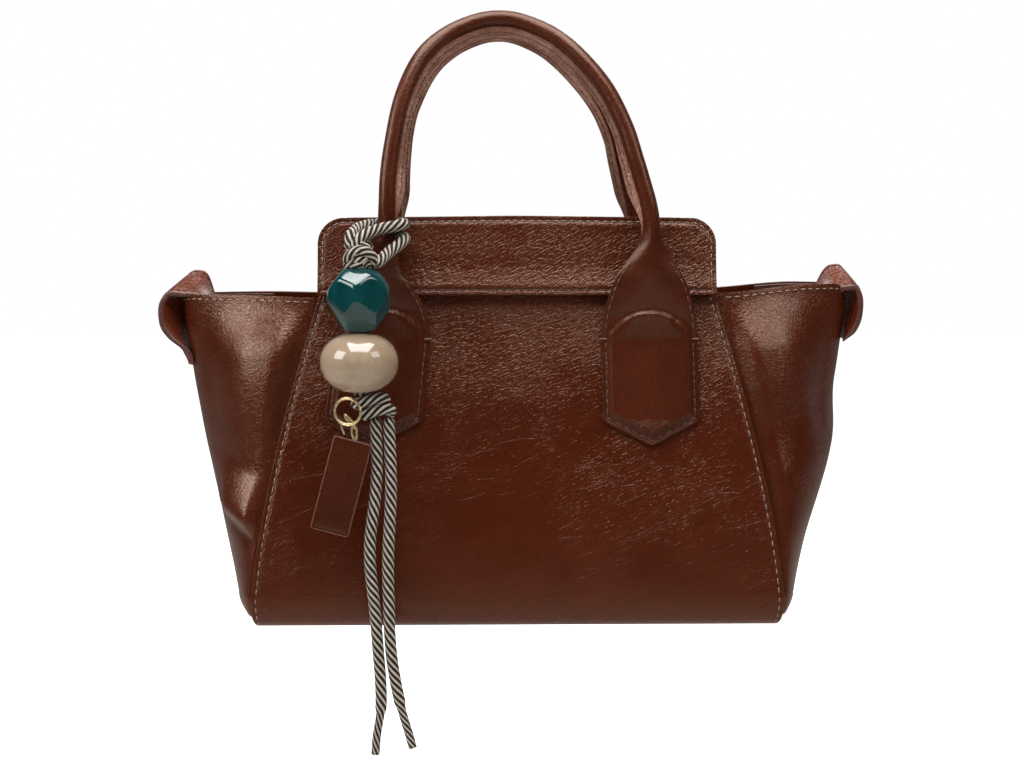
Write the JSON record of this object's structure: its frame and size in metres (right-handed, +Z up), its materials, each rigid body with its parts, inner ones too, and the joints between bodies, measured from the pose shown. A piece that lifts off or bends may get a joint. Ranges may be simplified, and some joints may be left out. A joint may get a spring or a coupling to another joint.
{
  "type": "tote bag",
  "caption": "Small winged leather tote with two rolled carrying handles, side strap loops and a corded two-bead charm with a hanging tag.",
  "frame": {"origin": "middle of the space between the tops of the two handles, where a hand or a hook carries the bag", "axes": "+Z up, +X to the bag's right as its front is looked at, +Y from the front panel to the back panel"},
  "size_m": [0.3712, 0.1479, 0.3686],
  "materials": {
    "leather": "glossy wrinkled cognac",
    "wing": "glossy wrinkled cognac",
    "handle": "semi-gloss cognac",
    "tag": "semi-gloss dark brown",
    "facing": "satin",
    "lining": "matte",
    "board": "matte fibre board",
    "rope": "matte",
    "cord": "black and off-white twist",
    "teal": "polished, faceted",
    "cream": "polished",
    "metal": "pale gold plating"
  },
  "bodies": {
    "bag": {"front_panel": "leather", "back_panel": "leather", "left_gusset": "wing", "right_gusset": "wing", "base_panel": "leather", "base_board": "board", "lining": "lining", "front_collar": "leather", "back_collar": "leather", "front_facing": "facing", "back_facing": "facing", "left_gusset_facing": "facing", "right_gusset_facing": "facing", "snap_socket": "metal", "snap_stud": "metal", "front_left_tab": "leather", "front_left_tab_filler": "board", "front_right_tab": "leather", "front_right_tab_filler": "board", "back_left_tab": "leather", "back_left_tab_filler": "board", "back_right_tab": "leather", "back_right_tab_filler": "board", "left_strap_loop": "leather", "right_strap_loop": "leather"},
    "front_handle": {"front_handle_cover": "handle", "front_handle_core": "rope", "upper_loop_cord": "cord", "lower_loop_cord": "cord"},
    "back_handle": {"back_handle_cover": "handle", "back_handle_core": "rope"},
    "charm": {"charm_knot": "cord", "bead_cord": "cord", "lower_wrap": "cord"},
    "teal": {"teal_bead": "teal"},
    "cream": {"cream_bead": "cream"},
    "ring": {"split_ring": "metal", "link_ring": "metal"},
    "tag": {"drop_ring": "metal", "leather_tag": "tag"},
    "left_tail": {"left_tail": "cord"},
    "right_tail": {"right_tail": "cord"}
  },
  "joints": [
    {"name": "front_handle_fold", "type": "hinge", "parent": "bag", "child": "front_handle", "pos_m": [0, -0.0441, -0.1588], "axis": [1, 0, 0], "range_deg": [0, 95]},
    {"name": "back_handle_fold", "type": "hinge", "parent": "bag", "child": "back_handle", "pos_m": [0, 0.0441, -0.1588], "axis": [-1, 0, 0], "range_deg": [0, 95]},
    {"name": "charm_plumb", "type": "hinge", "parent": "front_handle", "child": "charm", "pos_m": [-0.0775, -0.072, -0.1102], "axis": [1, 0, 0], "range_deg": [-95, 0]},
    {"name": "teal_bead_spin", "type": "hinge", "parent": "charm", "child": "teal", "pos_m": [-0.0775, -0.072, -0.1417], "axis": [0, 0, 1], "continuous": true},
    {"name": "cream_bead_spin", "type": "hinge", "parent": "charm", "child": "cream", "pos_m": [-0.0775, -0.072, -0.172], "axis": [0, 0, 1], "continuous": true},
    {"name": "ring_turn", "type": "hinge", "parent": "charm", "child": "ring", "pos_m": [-0.0831, -0.072, -0.1937], "axis": [0, 1, 0], "range_deg": [0, 35]},
    {"name": "tag_swing", "type": "hinge", "parent": "ring", "child": "tag", "pos_m": [-0.07973, -0.0741, -0.20269], "axis": [-1, 0, 0], "range_deg": [0, 50]},
    {"name": "left_tail_swing", "type": "hinge", "parent": "charm", "child": "left_tail", "pos_m": [-0.0697, -0.0698, -0.1995], "axis": [0, 1, 0], "range_deg": [0, 25]},
    {"name": "right_tail_swing", "type": "hinge", "parent": "charm", "child": "right_tail", "pos_m": [-0.0634, -0.0698, -0.1995], "axis": [0, -1, 0], "range_deg": [0, 25]}
  ],
  "couplings": [
    {"joint": "charm_plumb", "follows": "front_handle_fold", "ratio": -1}
  ]
}
